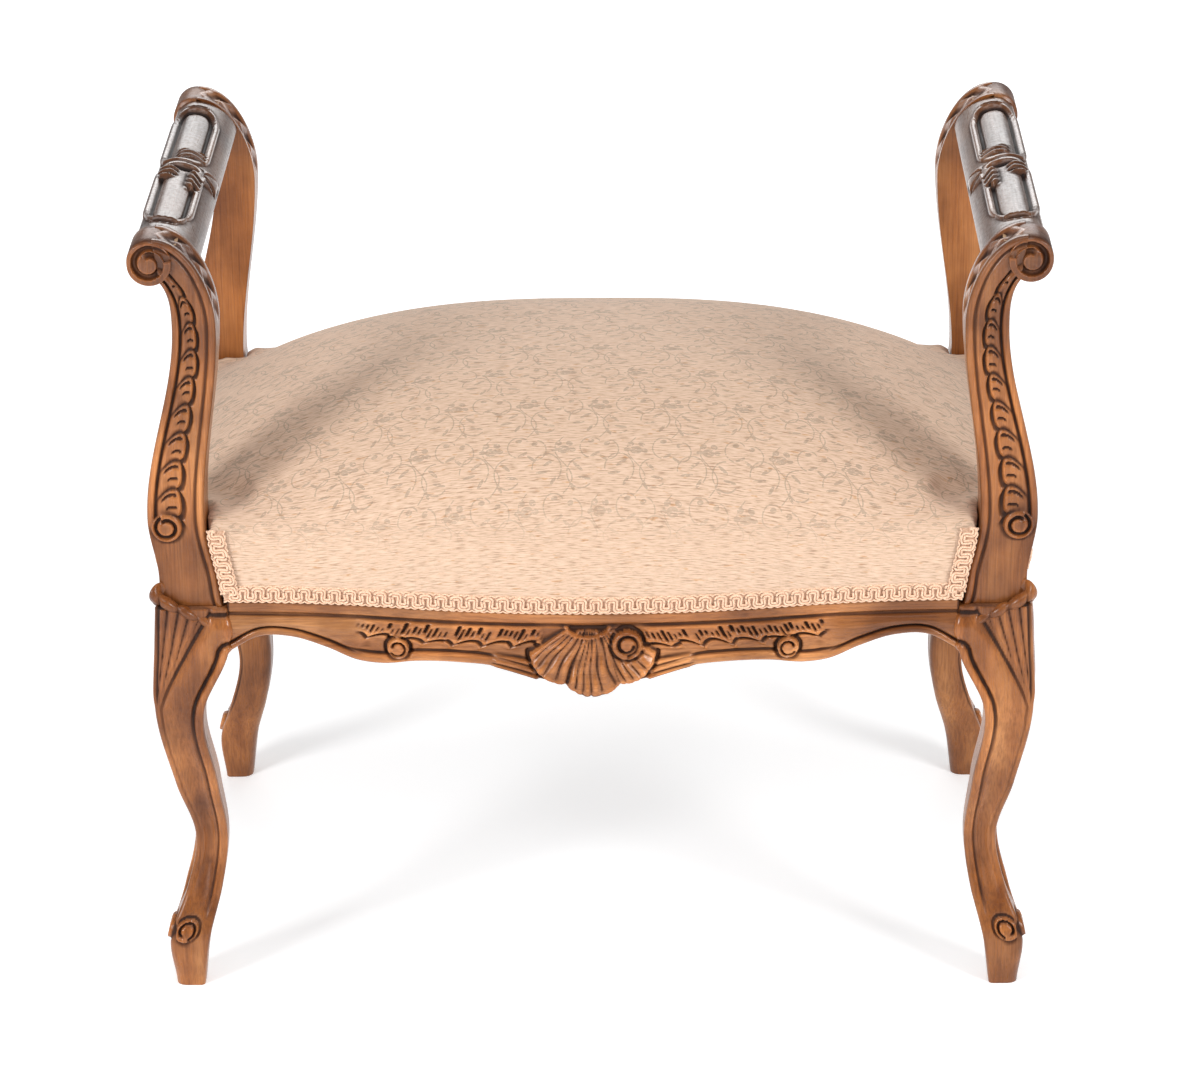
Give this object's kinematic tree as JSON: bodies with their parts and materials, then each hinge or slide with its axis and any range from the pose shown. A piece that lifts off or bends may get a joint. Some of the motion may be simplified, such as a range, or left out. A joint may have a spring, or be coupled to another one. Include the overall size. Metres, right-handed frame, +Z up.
{
  "type": "upholstered window seat",
  "caption": "Carved cabriole-leg window seat with a domed stuff-over seat between two scrolled roll arms.",
  "frame": {"origin": "on the floor under the middle of the seat", "axes": "+X along the seat, -Y towards the front, +Z up"},
  "size_m": [0.76, 0.5142, 0.684],
  "materials": {
    "walnut": "waxed, satin",
    "beech": "raw",
    "damask": "woven, matte",
    "gimp": "braided cord",
    "stuffing": "hair, matte",
    "canvas": "plain weave",
    "webbing": "twill weave",
    "black_cloth": "plain weave",
    "spring_wire": "coppered"
  },
  "bodies": {
    "root": {"leg_front_right": "walnut", "arm_post_front_right": "walnut", "corner_block_front_right": "beech", "leg_front_left": "walnut", "arm_post_front_left": "walnut", "corner_block_front_left": "beech", "leg_back_right": "walnut", "arm_post_back_right": "walnut", "corner_block_back_right": "beech", "leg_back_left": "walnut", "arm_post_back_left": "walnut", "corner_block_back_left": "beech", "front_rail": "walnut", "back_rail": "walnut", "right_rail": "walnut", "left_rail": "walnut", "arm_rail_right": "walnut", "arm_rail_left": "walnut", "arm_tongues": "beech", "cross_webbing": "webbing", "long_webbing": "webbing", "bottom_cloth": "black_cloth", "seat_springs": "spring_wire", "spring_canvas": "canvas", "seat_cover": "damask", "seat_stuffing": "stuffing", "gimp_front": "gimp", "gimp_back": "gimp", "gimp_right": "gimp", "gimp_left": "gimp"}
  },
  "joints": []
}
